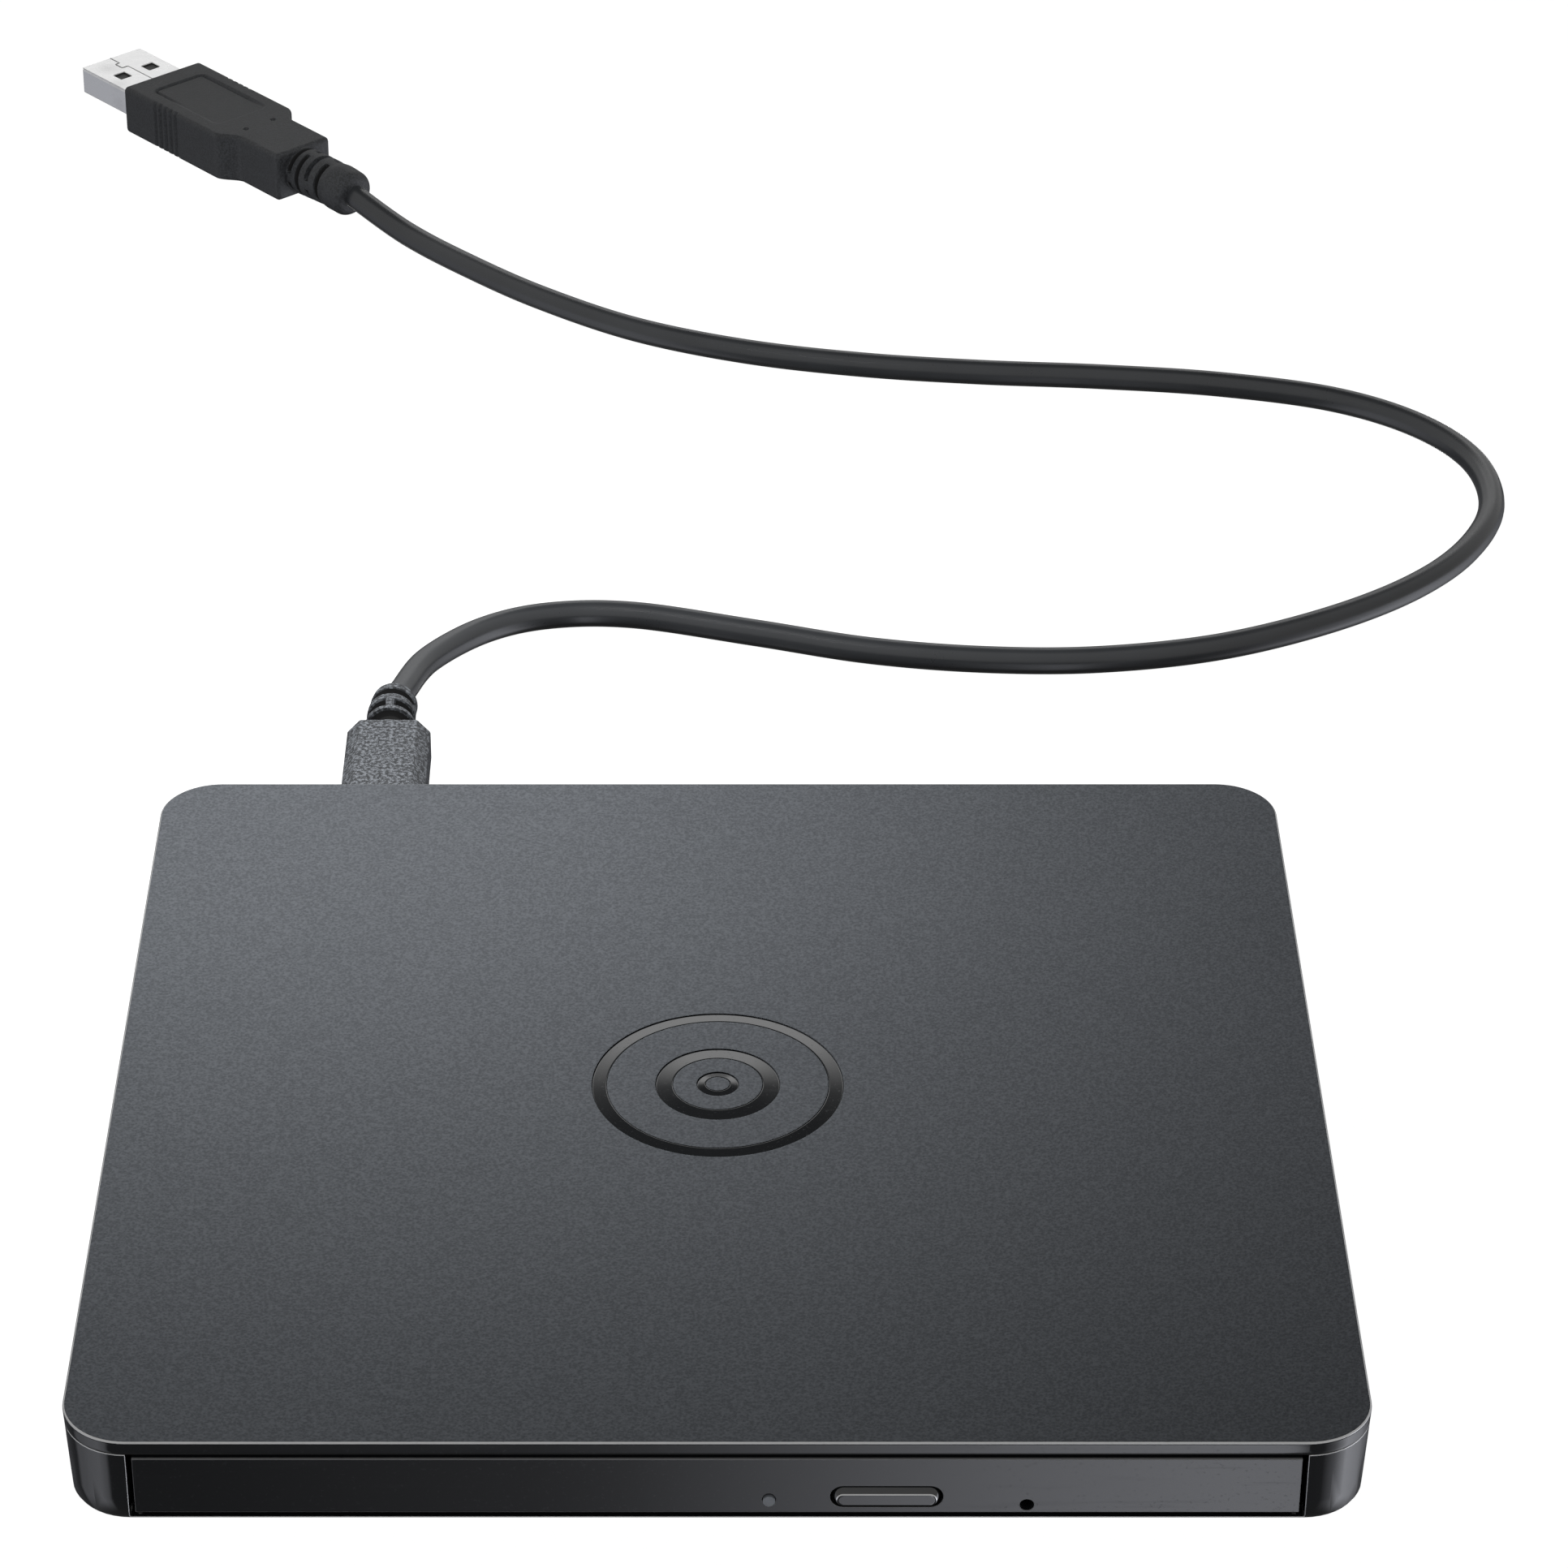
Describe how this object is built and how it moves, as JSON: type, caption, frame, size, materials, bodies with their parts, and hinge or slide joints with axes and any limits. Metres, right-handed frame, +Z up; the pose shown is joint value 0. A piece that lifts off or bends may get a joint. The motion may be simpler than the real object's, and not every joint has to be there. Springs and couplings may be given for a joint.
{
  "type": "external optical drive",
  "caption": "Slim external disc drive: plastic case, tray that slides out with spindle and pickup, and a short lead to a flat computer plug.",
  "frame": {"origin": "centre of the case on the table, between the feet", "axes": "+X right and +Y to the back, seen from the tray's side, +Z up"},
  "size_m": [0.2227, 0.3894, 0.014],
  "materials": {
    "lid_plastic": "fine leather-like grain, dark graphite",
    "gloss_black": "polished black plastic",
    "tray_plastic": "fine spark grain, black",
    "rubber": "soft black rubber",
    "steel": "thin zinc-plated steel sheet",
    "bright_steel": "nickel-plated steel",
    "die_cast": "die-cast metal with a dull grain",
    "bronze": "sintered bronze",
    "contact_gold": "gold-plated contact",
    "board": "green solder mask on glass-epoxy board",
    "chip_black": "moulded black package",
    "flex_amber": "amber film cable",
    "white_plastic": "natural white acetal",
    "smoke_pipe": "grey light pipe",
    "label_foil": "plain silver foil, nothing printed",
    "coil": "enamelled copper winding",
    "lens_glass": "coated lens",
    "lead_pvc": "smooth black cable jacket",
    "plug_pvc": "fine-grained moulded plug body"
  },
  "bodies": {
    "enclosure": {"top_cover": "lid_plastic", "bottom_cover": "gloss_black", "badge_ring": "gloss_black", "badge_mark": "gloss_black", "rubber_feet": "rubber", "case_screws": "bright_steel", "blank_label": "label_foil", "bridge_board": "board", "bridge_chips": "chip_black", "mini_socket": "bright_steel", "board_connector": "chip_black", "drive_connector": "chip_black", "drive_pan": "steel", "drive_top_plate": "steel", "rail_channels": "steel", "chassis_board": "board", "fixed_flex": "flex_amber", "latch_post": "bright_steel", "mini_plug_shell": "bright_steel", "mini_plug_body": "plug_pvc", "mini_plug_relief": "plug_pvc", "lead_tube": "lead_pvc", "usb_plug_relief": "plug_pvc", "usb_plug_body": "plug_pvc", "usb_plug_shell": "bright_steel", "usb_plug_tongue": "chip_black", "usb_plug_contacts": "contact_gold"},
    "rails": {"left_rail": "steel", "right_rail": "steel"},
    "tray": {"disc_tray": "tray_plastic", "tray_bezel": "gloss_black", "light_pipe": "smoke_pipe", "tray_bottom_cover": "tray_plastic", "tray_board": "board", "tray_chips": "chip_black", "eject_switch": "chip_black", "tray_flex": "flex_amber", "tray_screws": "bright_steel", "traverse_frame": "die_cast", "traverse_cover": "tray_plastic", "damper_grommets": "rubber", "guide_rods": "bright_steel", "stepper_motor": "steel", "spindle_base": "steel", "spindle_bearing": "bronze", "latch_pivot": "bright_steel", "eject_solenoid": "coil", "kick_spring": "bright_steel", "kick_plunger": "white_plastic"},
    "button": {"eject_button": "gloss_black"},
    "spindle": {"spindle_rotor": "steel", "turntable_pad": "rubber", "disc_hub": "bright_steel"},
    "pickup": {"pickup_sled": "die_cast", "pickup_cover": "chip_black"},
    "lens": {"lens_holder": "chip_black", "objective_lens": "lens_glass"},
    "screw": {"lead_screw": "bright_steel"},
    "latch": {"latch_lever": "white_plastic"}
  },
  "joints": [
    {"name": "tray_slide", "type": "slide", "parent": "enclosure", "child": "tray", "axis": [0, -1, 0], "range_m": [0, 0.13]},
    {"name": "rail_slide", "type": "slide", "parent": "enclosure", "child": "rails", "axis": [0, -1, 0], "range_m": [0, 0.065]},
    {"name": "button_press", "type": "slide", "parent": "tray", "child": "button", "axis": [0, 1, 0], "range_m": [0, 0.0005], "stiffness_N_per_m": 600},
    {"name": "spindle_spin", "type": "hinge", "parent": "tray", "child": "spindle", "pos_m": [0, -0.0045, 0.008], "axis": [0, 0, 1], "continuous": true},
    {"name": "pickup_slide", "type": "slide", "parent": "tray", "child": "pickup", "axis": [-0.7071, -0.7071, 0], "range_m": [0, 0.034]},
    {"name": "screw_turn", "type": "hinge", "parent": "tray", "child": "screw", "pos_m": [0.0046, -0.0289, 0.0058], "axis": [-0.7071, -0.7071, 0], "continuous": true},
    {"name": "lens_focus", "type": "slide", "parent": "pickup", "child": "lens", "axis": [0, 0, 1], "range_m": [-0.0003, 0.0003], "stiffness_N_per_m": 60},
    {"name": "latch_swing", "type": "hinge", "parent": "tray", "child": "latch", "pos_m": [0.0475, -0.06, 0.005], "axis": [0, 0, 1], "range_deg": [0, 6], "stiffness_Nm_per_rad": 0.02}
  ],
  "couplings": [
    {"joint": "rail_slide", "follows": "tray_slide", "ratio": 0.5},
    {"joint": "screw_turn", "follows": "pickup_slide", "rad_per_m": 2094.4}
  ]
}
